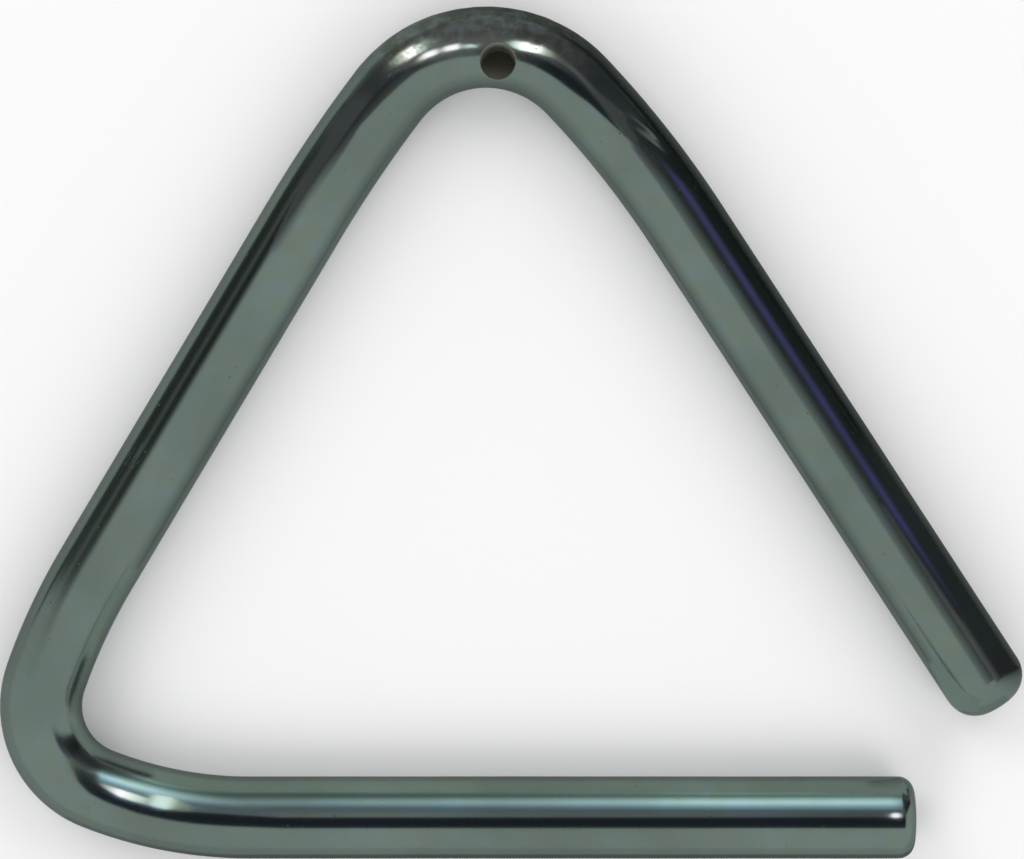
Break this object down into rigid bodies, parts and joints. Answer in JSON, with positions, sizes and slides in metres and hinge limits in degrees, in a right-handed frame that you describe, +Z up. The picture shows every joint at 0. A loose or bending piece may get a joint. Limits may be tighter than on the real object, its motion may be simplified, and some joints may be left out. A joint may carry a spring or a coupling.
{
  "type": "triangle instrument",
  "caption": "Open percussion triangle bent from a round, bright-plated steel bar, with a hanging hole drilled through its apex.",
  "frame": {"origin": "on the surface that the triangle lies on, under the middle of its outline", "axes": "+X along the base towards its free end, +Y from the base towards the apex, +Z up through the bar"},
  "size_m": [0.1002, 0.0836, 0.008],
  "materials": {
    "plated_steel": "bright plating over cold-drawn steel, polished, with fine handling marks"
  },
  "bodies": {
    "root": {"triangle_bar": "plated_steel"}
  },
  "joints": []
}
